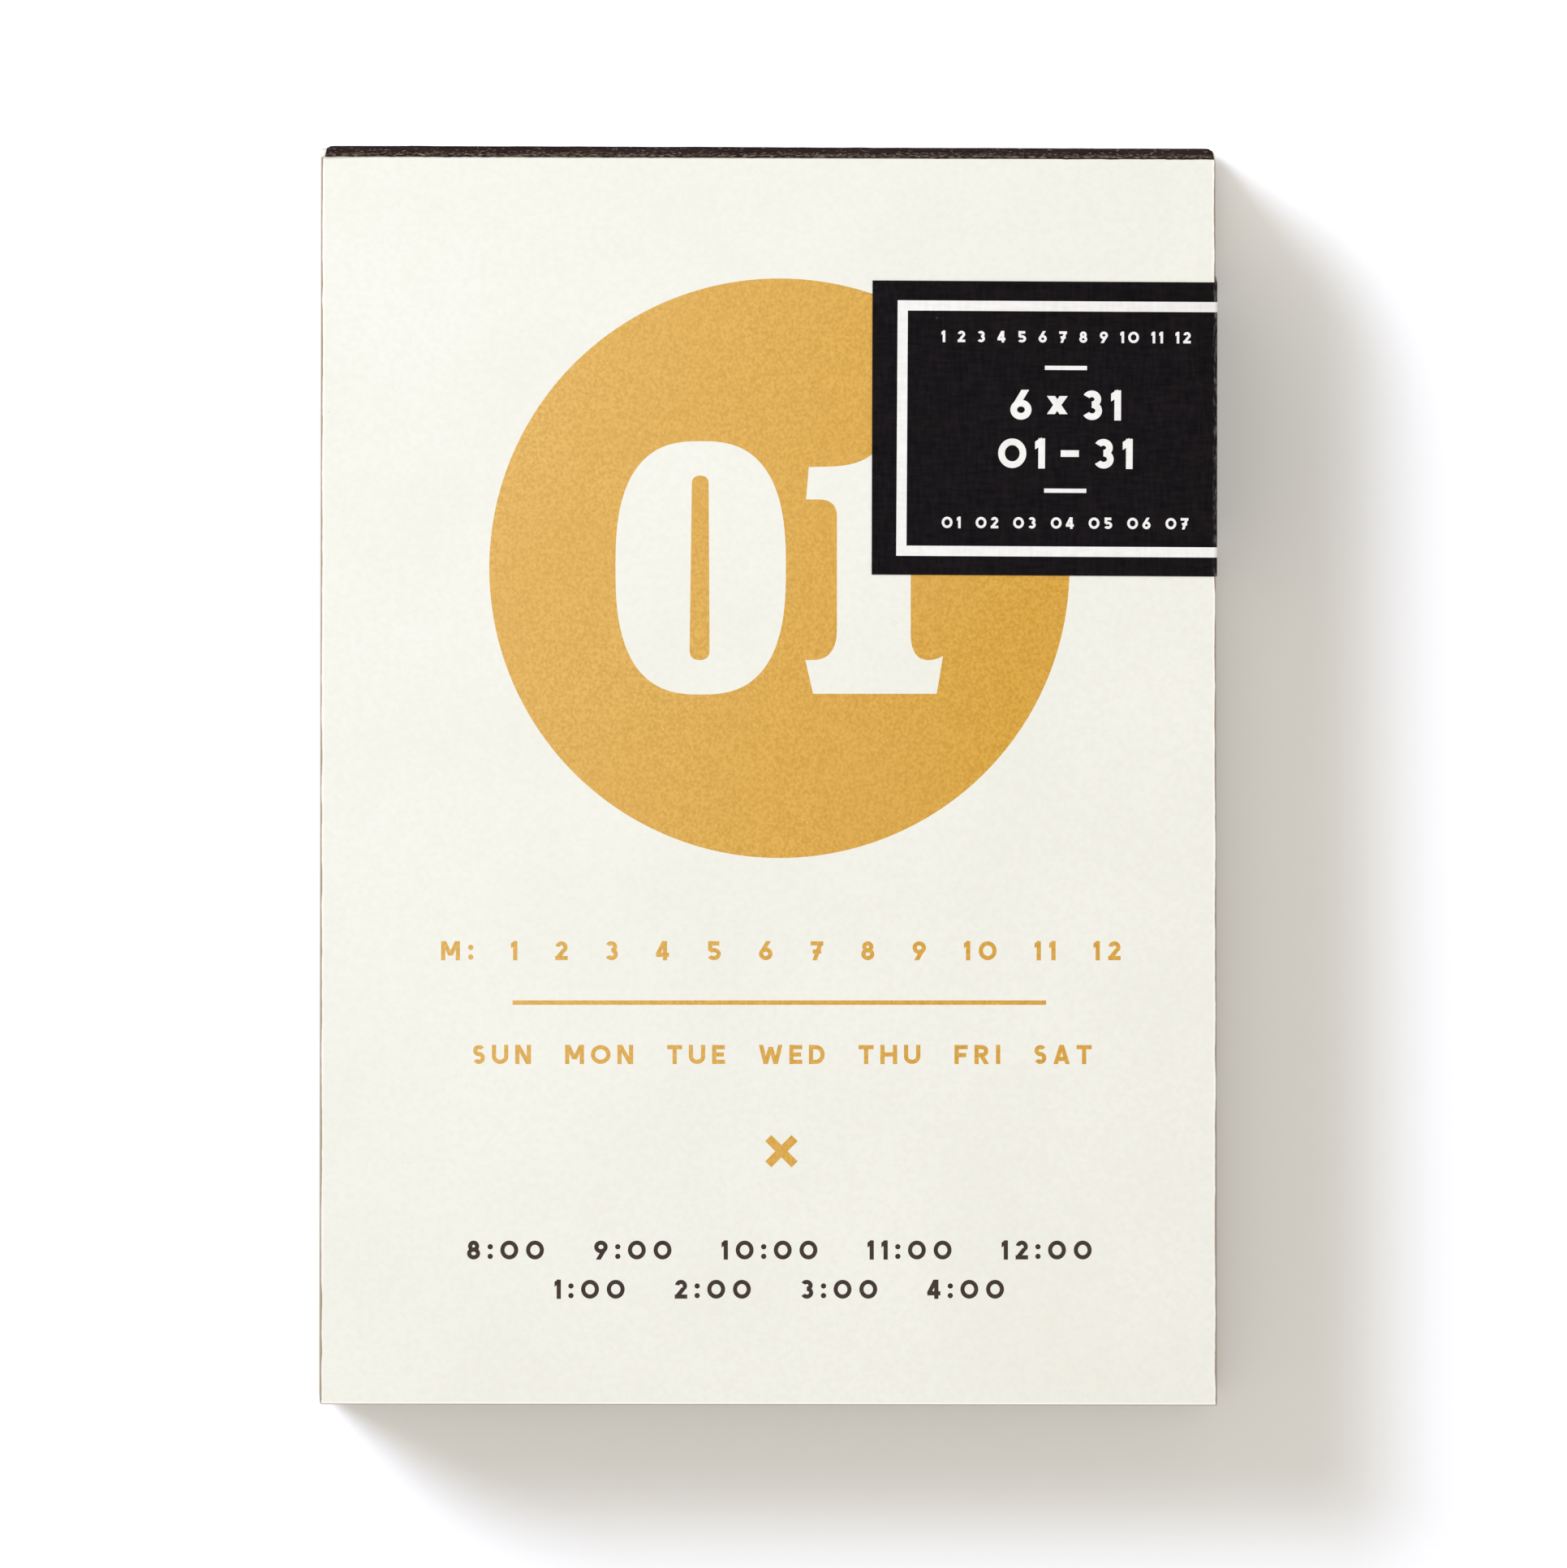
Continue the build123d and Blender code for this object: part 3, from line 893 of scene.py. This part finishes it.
# %% Grow the pile
FLARE_LEFT, FLARE_RIGHT = 0.34, 0.05
GLUE_GAP = 0.02
pile_count = round((FACE - BOARD_FRONT) / SHEET) - PRINTED_SHEETS
pile = pile_tree.grow(
    "page_stack",
    {
        "Sheets": pile_count,
        "Lowest": (MIDDLE_X * MM, MIDDLE_Y * MM, (BOARD_FRONT + SHEET / 2) * MM),
        "Sheet Size": ((RIGHT - LEFT) * MM, (HEAD - FOOT - GLUE_GAP) * MM, SHEET * SHEET_FILL * MM),
        "Step": (0, 0, SHEET * MM),
        "Stray": 0.05 * MM,
        "Lift Stray": 0.08 * MM,
        "Sheets in a Lift": 17,
        "Flare": 1 + (FLARE_LEFT + FLARE_RIGHT) / (RIGHT - LEFT),
        "Lean": (FLARE_RIGHT - FLARE_LEFT) / 2 * MM,
        "Seed": 11,
        "Material": cut_edge.material,
    },
)
for vertex in pile.data.vertices:
    vertex.co.xy = [value * MM for value in as_cut(vertex.co.x / MM, vertex.co.y / MM)]
keep_rest_place(pile.data)
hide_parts("day_sheet_06", "day_sheet_07", *[f"month_{month}_sheets" for month in range(1, 7)])
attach(pile, "block")
print(f"{pile_count} sheets in the pile, {len(pile.data.polygons)} faces")

# %% [markdown]
# ## Boards
# The backing board and the easel are cut from pulp board. Their corners are never as sharp as in CAD, so
# each piece is a copy of its CAD node with its doubles merged, its flat faces joined again and its edges
# rounded with a small bevel. Grey pulp board shows short fibres and dark flecks. The easel is brown board.

# %% Board finishes
def board_finish(name, dark, light, fleck):
    made = Finish(name, 0.88, 0.10)
    made.ground(made.step(made.grain(11, detail=2), 0.25, 0.75, 0.35, 0.65), dark, light)
    made.lay(made.step(made.weave(0.4, 5), 0.40, 0.62), light, 0.5)
    made.lay(made.step(made.grain(0.5, (1, 2.5, 1), detail=2), 0.64, 0.70), fleck, 0.4)
    made.bump(made.grain(0.4, (2, 2, 0.6), detail=4), 0.03, 0.6)
    return made


greyboard = board_finish("grey pulp board", paint(150, 139, 122), paint(176, 166, 148), paint(96, 86, 74))
easel_board = board_finish("brown easel board", paint(150, 118, 84), paint(178, 146, 108), paint(104, 78, 54))
print("two board finishes")

# %% Rounded copies of the board nodes
FLAT_ANGLE, SHARP_ANGLE = math.radians(1), math.radians(30)
SAME_PLACE = 1e-6
BOARD_ROWS = (
    ("board", "backing_board", 0.22, greyboard, "greyboard", "block"),
    ("easel_back", "easel_plate", 0.15, easel_board, "easel_board", "block"),
    ("easel_prop", "easel_leg", 0.15, easel_board, "easel_board", "leg"),
    ("lock_foot", "lock_base", 0.12, easel_board, "easel_board", "block"),
    ("lock_flap", "lock_tab", 0.12, easel_board, "easel_board", "lock"),
)


def rounded_copy(name, node, radius, finish, trimmed):
    solid = bmesh.new()
    solid.from_mesh(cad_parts[node].data)
    if trimmed:
        for vertex in solid.verts:
            x, y = as_cut(vertex.co.x / MM, vertex.co.y / MM)
            vertex.co.xy = (x + (FLARE_RIGHT if x > 0 else -FLARE_LEFT)) * MM, y * MM
    bmesh.ops.remove_doubles(solid, verts=solid.verts, dist=SAME_PLACE)
    bmesh.ops.dissolve_limit(solid, angle_limit=FLAT_ANGLE, verts=solid.verts, edges=solid.edges)
    sharp = [edge for edge in solid.edges if edge.calc_face_angle(0) > SHARP_ANGLE]
    bmesh.ops.bevel(solid, geom=sharp, offset=radius * MM, segments=2, profile=0.5, affect="EDGES")
    bmesh.ops.triangulate(solid, faces=[face for face in solid.faces if len(face.verts) > 4])
    mesh = bpy.data.meshes.new(name)
    solid.to_mesh(mesh)
    solid.free()
    mesh.materials.append(finish.material)
    smooth(mesh, 35)
    made = put_in_scene(name, mesh)
    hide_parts(node)
    return made


for name, node, radius, finish, slot, body in BOARD_ROWS:
    board = rounded_copy(name, node, radius, finish, trimmed=name == "board")
    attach(board, body)
    print(f"{name}: {len(board.data.polygons)} faces")
shades_fill.objects.link(bpy.data.objects["board"])

# %% [markdown]
# ## Padding glue
# The head is brushed with dark padding glue, which dries to a thin rubbery skin. The brush leaves smears,
# the sheets show through as fine lines, the skin is rounded at its ends, and frayed paper lightens its rim
# next to the page. A grid over the head is pushed out by smooth noise to that thickness, with more rows
# near the rims, and closed with the same shell maker as the sheets.

# %% Glue finish
glue = Finish("dark padding glue", 0.65, 0.0)
glue_lines = glue.grain(0.3, (200, 200, 1), detail=2)
glue_smear = glue.grain(3.0, (1.6, 1, 1.4), detail=4)
glue_share = glue.step(glue.plus(glue_lines, glue_smear), 0.75, 1.25)
glue.ground(glue_share, paint(31, 23, 21), paint(54, 43, 40))
slope_here = glue.math("DIVIDE", glue.minus(glue.axis("X"), MIDDLE_X), HALF_WIDTH / HEAD_SLOPE)
past_head = glue.minus(glue.plus(glue.axis("Y"), slope_here), HEAD)
on_rim = glue.step(glue.axis("Z"), FACE - 0.5, FACE - 0.2)
frayed = glue.step(glue.grain(0.2, (4, 1, 1), detail=5), 0.48, 0.66, 0.0, 0.65)
frayed = glue.times(frayed, glue.step(past_head, 0.06, 0.14))
glue.lay(glue.times(frayed, on_rim), paint(158, 140, 124))
glue.feed("Roughness", glue.step(glue_smear, 0.3, 0.7, 0.55, 0.8))
glue.bump(glue_share, 0.03, 0.6)
print(f"glue finish with {len(glue.tree.nodes)} nodes")

# %% Brush the glue on the head
GLUE_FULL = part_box("head_glue")[1].y / MM - HEAD
GLUE_THIN = 0.08
GLUE_LEFT, GLUE_RIGHT, GLUE_BACK = LEFT + 0.42, RIGHT - 0.1, BOARD_BACK + 0.05
GLUE_COLUMNS, GLUE_ROWS = 220, 36
END_ROUNDING, RIM_ROUNDING, RIM_SHARE = 0.7, 0.5, 0.45
STREAK_SCALE, STREAK_SHARE = (0.06, 1.1), 0.12
LUMP_SCALE, LUMP_SHARE, LUMP_SLICE = 0.35, 0.08, 5.0
EVEN_SHARE = 0.90


def glue_thickness(x, z):
    streaks = noise.noise(Vector((x * STREAK_SCALE[0], 0.0, z * STREAK_SCALE[1])))
    lumps = noise.noise(Vector((x * LUMP_SCALE, LUMP_SLICE, z * LUMP_SCALE)))
    from_end = min(x - GLUE_LEFT, GLUE_RIGHT - x, END_ROUNDING) / END_ROUNDING
    from_rim = min(FACE - z, z - BOARD_BACK, RIM_ROUNDING) / RIM_ROUNDING
    at_rim = 1 - RIM_SHARE + RIM_SHARE * math.sqrt(max(from_rim, 0.0))
    rounded = math.sqrt(max(from_end, 0.0)) * at_rim
    brushed = EVEN_SHARE + STREAK_SHARE * streaks + LUMP_SHARE * lumps
    return GLUE_THIN + (GLUE_FULL - GLUE_THIN) * rounded * brushed


outer, inner, glue_faces = [], [], []
for column in range(GLUE_COLUMNS + 1):
    x = GLUE_LEFT + (GLUE_RIGHT - GLUE_LEFT) * column / GLUE_COLUMNS
    head = as_cut(x, HEAD)[1]
    for row in range(GLUE_ROWS + 1):
        rise = 0.5 - 0.5 * math.cos(math.pi * row / GLUE_ROWS)
        z = GLUE_BACK + (FACE - GLUE_BACK) * rise
        outer.append((x, head + glue_thickness(x, z), z))
        inner.append((x, head, z))
for column in range(GLUE_COLUMNS):
    for row in range(GLUE_ROWS):
        corner = column * (GLUE_ROWS + 1) + row
        glue_faces.append((corner, corner + 1, corner + GLUE_ROWS + 2, corner + GLUE_ROWS + 1))
head_glue = closed_shell("glue_skin", outer, inner, glue_faces, [0] * len(glue_faces), (glue,))
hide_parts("head_glue")
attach(head_glue, "block")
print(f"glue skin with {len(head_glue.data.polygons)} faces")

# %% [markdown]
# ## Paper fibres in the glue
# The head is roughened before it is glued, and short paper fibres stay in the skin, most of them near the
# face of the block. They repeat over a surface, so Geometry Nodes scatters them: points on the outer faces
# of the glue itself, and on each point a thin five-sided rod, turned and sized at random from a fixed seed.

# %% Build the node tree for fibres
ROD_SIDES = 5
FEWEST_SHARE, OUTWARD = 0.15, 0.3
TURN, SHORT, LONG = (0.3, 0.6, 0.25), (0.3, 0.6, 0.6), (1.4, 1.3, 1.3)
fibre_tree = Growth(
    "fibres in the glue",
    {
        "Geometry": "Geometry", "Fibres per Square Metre": "Float", "Thin Below": "Float",
        "Full Above": "Float", "Fibre Length": "Float", "Fibre Radius": "Float", "Seed": "Int",
        "Material": "Material",
    },
)
given = fibre_tree.given
level = fibre_tree.part(fibre_tree.node("GeometryNodeInputPosition", {}).outputs[0], "Z")
thinned = fibre_tree.step(level, given("Thin Below"), given("Full Above"), FEWEST_SHARE)
facing = fibre_tree.part(fibre_tree.node("GeometryNodeInputNormal", {}).outputs[0], "Y")
spots = fibre_tree.node(
    "GeometryNodeDistributePointsOnFaces",
    {
        "Mesh": given("Geometry"),
        "Selection": fibre_tree.math("GREATER_THAN", facing, OUTWARD),
        "Density": fibre_tree.times(thinned, given("Fibres per Square Metre")),
        "Seed": given("Seed"),
    },
)
rod = fibre_tree.node(
    "GeometryNodeMeshCylinder",
    {"Vertices": ROD_SIDES, "Radius": given("Fibre Radius"), "Depth": given("Fibre Length")},
)
lying = fibre_tree.node(
    "GeometryNodeTransform", {"Geometry": rod.outputs["Mesh"], "Rotation": (0, math.pi / 2, 0)}
)
turn = fibre_tree.random(1, [-angle for angle in TURN], TURN)
fibres_placed = fibre_tree.node(
    "GeometryNodeInstanceOnPoints",
    {
        "Points": spots.outputs["Points"],
        "Instance": lying.outputs["Geometry"],
        "Rotation": fibre_tree.node("FunctionNodeEulerToRotation", {0: turn}).outputs[0],
        "Scale": fibre_tree.random(2, SHORT, LONG),
    },
)
fibre_tree.result(fibres_placed.outputs["Instances"])
print(f"fibre tree with {len(fibre_tree.tree.nodes)} nodes")

# %% Scatter fibres over the glue
fibre_finish = Finish("loose paper fibre", 0.9, 0.05)
fibre_tone = fibre_finish.step(fibre_finish.grain(2.0, detail=4), 0.35, 0.65)
fibre_finish.ground(fibre_tone, paint(78, 65, 58), paint(186, 171, 155))
fibres = fibre_tree.grow(
    "glue_fibres",
    {
        "Fibres per Square Metre": 700000.0,
        "Thin Below": (FACE - 8) * MM,
        "Full Above": (FACE - 1) * MM,
        "Fibre Length": 0.6 * MM,
        "Fibre Radius": 0.022 * MM,
        "Seed": 5,
        "Material": fibre_finish.material,
    },
    head_glue.data.copy(),
)
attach(fibres, "block")
print(f"{len(fibres.data.polygons) // (ROD_SIDES + 2)} fibres in the glue")

# %% [markdown]
# ## Seal label
# One strip of black paper is stuck on the front, folded round the right edge and stuck under the board. It
# was put on by hand, so it is turned a little, and its folds stand off the paper. The strip is printed
# flat, with a white frame and rows of plain numbers, and then bent along a path round the block: a point's
# distance along the strip gives its place on the path. It is slit at the front fold, where the sheet lifts.

# %% Label finishes
label_black = Finish("black label paper", 0.66, 0.08)
label_weave = label_black.step(label_black.weave(0.45, 5), 0.36, 0.64)
label_black.ground(label_weave, paint(6, 4, 7), paint(23, 18, 22))
label_black.lay(label_black.specks(3.4, 0.13, 0.10), paint(110, 100, 100), 0.35)
past_edge = label_black.step(label_black.axis("X"), RIGHT - 0.3, RIGHT + 0.2)
near_face = label_black.step(label_black.axis("Z"), FACE - 0.9, FACE - 0.3)
fold_rub = label_black.step(label_black.grain(0.35, (1, 4, 1), detail=4), 0.46, 0.70, 0.02, 0.50)
label_black.lay(label_black.times(label_black.times(past_edge, near_face), fold_rub), paint(150, 143, 140))
label_black.bump(label_weave, 0.012, 0.6)

label_white = Finish("white label print", 0.7, 0.12)
white_weave = label_white.step(label_white.weave(0.45, 5), 0.36, 0.64)
label_white.ground(white_weave, paint(230, 229, 228), paint(241, 240, 239))
label_white.bump(white_weave, 0.01, 0.5)
print("two label finishes")

# %% The path round the block
label_low, label_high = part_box("label_front")
LABEL_LEFT = label_low.x / MM
LABEL_FOOT, LABEL_TOP = label_low.y / MM, label_high.y / MM
LABEL_MIDDLE = (LABEL_FOOT + LABEL_TOP) / 2
LABEL_THICK = label_high.z / MM - FACE
BACK_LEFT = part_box("label_back")[0].x / MM
FOLD_RADIUS, FOLD_STEPS = 0.38, 8
FRONT_FOLD_X, BACK_FOLD_X = RIGHT - 0.10, RIGHT - 0.15
SIDE_POINTS = ((RIGHT + 0.22, FACE - 3.0), (RIGHT + 0.24, BOARD_BACK + 3.0))
LABEL_TURN = math.radians(-0.33)


def fold(x, z, first):
    """Points round a quarter turn, with the direction that faces out."""
    turned = []
    for step in range(FOLD_STEPS + 1):
        angle = math.radians(first - 90 * step / FOLD_STEPS)
        out = (math.cos(angle), math.sin(angle))
        turned.append(((x + FOLD_RADIUS * out[0], z + FOLD_RADIUS * out[1]), out))
    return turned


path = [((LABEL_LEFT, FACE), (0, 1))]
path += fold(FRONT_FOLD_X, FACE - FOLD_RADIUS, 90)
path += [(point, (1, 0)) for point in SIDE_POINTS]
path += fold(BACK_FOLD_X, BOARD_BACK + FOLD_RADIUS, 0)
path.append(((BACK_LEFT, BOARD_BACK), (0, -1)))
reach = [0.0]
for (start, _), (end, _) in zip(path, path[1:]):
    reach.append(reach[-1] + math.dist(start, end))
FRONT_FOLD, BACK_FOLD = reach[1 + FOLD_STEPS // 2], reach[-2 - FOLD_STEPS // 2]
LABEL_LENGTH = reach[-1]


def on_block(along, up, lift):
    """Where a point of the flat strip lies on the block."""
    turned = min(max(along - LABEL_TURN * (up - LABEL_MIDDLE), 0.0), LABEL_LENGTH)
    y = up + LABEL_TURN * (along - (RIGHT - LABEL_LEFT) / 2)
    place = min(bisect_right(reach, turned), len(reach) - 1)
    share = (turned - reach[place - 1]) / (reach[place] - reach[place - 1])
    spot, out = [
        [a + (b - a) * share for a, b in zip(before, after)]
        for before, after in zip(path[place - 1], path[place])
    ]
    out = Vector(out).normalized()
    return (spot[0] + out.x * lift, y, spot[1] + out.y * lift)


print(f"label strip {LABEL_LENGTH:.1f} mm long, front fold at {FRONT_FOLD:.1f} mm")

# %% Print the strip
FRAME_LINE = 1.45
FRAME_INSET_LEFT, FRAME_INSET_TOP, FRAME_INSET_FOOT = 3.6, 2.8, 2.7
LABEL_TYPE_X = RIGHT - LABEL_LEFT - 21.2
DASH_DROPS, DASH_HALF_LENGTH, DASH_HALF_WIDTH = (12.3, 29.8), 3.0, 0.3
DAYS = " ".join(f"{day:02d}" for day in range(1, 8))
# Text, distance from the label's top, height, gap between letters and gap between words.
LABEL_ROWS = (
    (MONTHS, 7.9, 1.65, 0.55, 1.75),
    ("6 x 31", 17.6, 4.3, 1.2, 2.2),
    ("01 - 31", 24.5, 4.3, 1.2, 2.2),
    (DAYS, 34.4, 1.65, 0.6, 2.1),
)


def label_print():
    far = LABEL_LENGTH - FRAME_INSET_LEFT
    half = FRAME_LINE / 2
    top, foot = LABEL_TOP - FRAME_INSET_TOP - half, LABEL_FOOT + FRAME_INSET_FOOT + half
    middle_x = (FRAME_INSET_LEFT + far) / 2
    shapes = [("white", box(middle_x, level, (far - FRAME_INSET_LEFT) / 2, half)) for level in (top, foot)]
    for x in (FRAME_INSET_LEFT + half, far - half):
        shapes.append(("white", box(x, (top + foot) / 2, half, (top - foot) / 2 + half)))
    for drop in DASH_DROPS:
        shapes.append(("white", box(LABEL_TYPE_X, LABEL_TOP - drop, DASH_HALF_LENGTH, DASH_HALF_WIDTH)))
    for text, drop, *row in LABEL_ROWS:
        shapes += row_of_type(text, "white", "paper", LABEL_TYPE_X, LABEL_TOP - drop, *row)
    return shapes


def clipped(shapes, first, last):
    """The shapes that reach between two distances along the strip, trimmed to them."""
    kept = []
    for ink, shape in shapes:
        if min(x for x, y in shape) < last and max(x for x, y in shape) > first:
            kept.append((ink, [(min(max(x, first), last), y) for x, y in shape]))
    return kept


print(f"{len(label_print())} outlines printed on the label")

# %% Bend the three panels of the strip
LABEL_GAP, FOLD_MARGIN = 0.005, 0.01
PANELS = (
    ("label_face", 0.0, FRONT_FOLD, "label_front", "sheet_01"),
    ("label_edge", FRONT_FOLD, BACK_FOLD, "label_side", "block"),
    ("label_tail", BACK_FOLD, LABEL_LENGTH, "label_back", "block"),
)
for name, first, last, node, body in PANELS:
    edge = box((first + last) / 2, LABEL_MIDDLE, (last - first) / 2, (LABEL_TOP - LABEL_FOOT) / 2)
    folds = [at for at in reach if first + FOLD_MARGIN < at < last - FOLD_MARGIN]
    crossing = [((at, LABEL_FOOT), (at, LABEL_TOP)) for at in folds]
    points, faces, inks = cut_sheet(edge, clipped(label_print(), first, last), crossing)
    tops = [on_block(x, y, LABEL_THICK) for x, y in points]
    bottoms = [on_block(x, y, LABEL_GAP) for x, y in points]
    slots = [1 if ink == "white" else 0 for ink in inks]
    label = closed_shell(name, tops, bottoms, faces, slots, (label_black, label_white))
    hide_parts(node)
    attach(label, body)
    print(f"{name}: {len(label.data.polygons)} faces")
